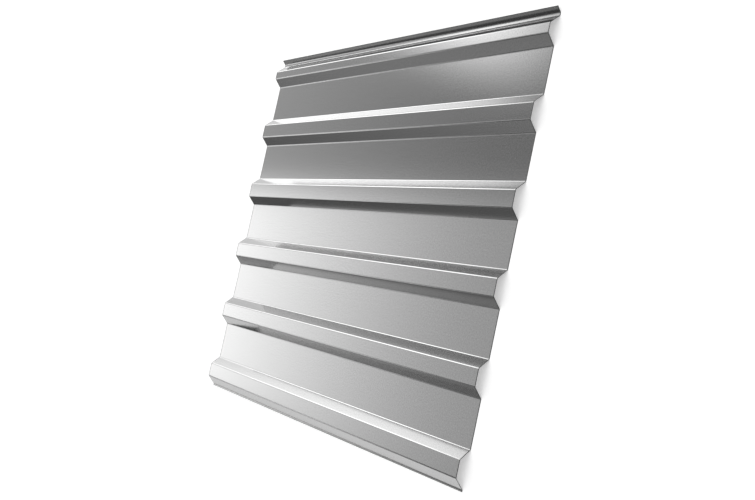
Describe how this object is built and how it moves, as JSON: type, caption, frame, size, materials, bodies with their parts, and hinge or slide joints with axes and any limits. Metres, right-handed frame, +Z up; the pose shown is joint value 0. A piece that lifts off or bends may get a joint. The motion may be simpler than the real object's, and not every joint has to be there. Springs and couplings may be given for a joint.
{
  "type": "trapezoidal profiled metal sheet",
  "caption": "Roll-formed metal sheet with wide flat valleys, narrow trapezoidal ribs, a narrower lipped rib at one edge and a short flat foot at the other.",
  "frame": {"origin": "on the floor plane under the middle of the sheet", "axes": "+X along the ribs, +Y across the sheet from the overlap foot to the underlap lip, +Z up out of the crests"},
  "size_m": [1.3, 1.1222, 0.0256],
  "materials": {
    "coated_steel": "smooth satin, metal-coated steel with faint rolling grain along the ribs"
  },
  "bodies": {
    "root": {"profiled_sheet": "coated_steel"}
  },
  "joints": []
}
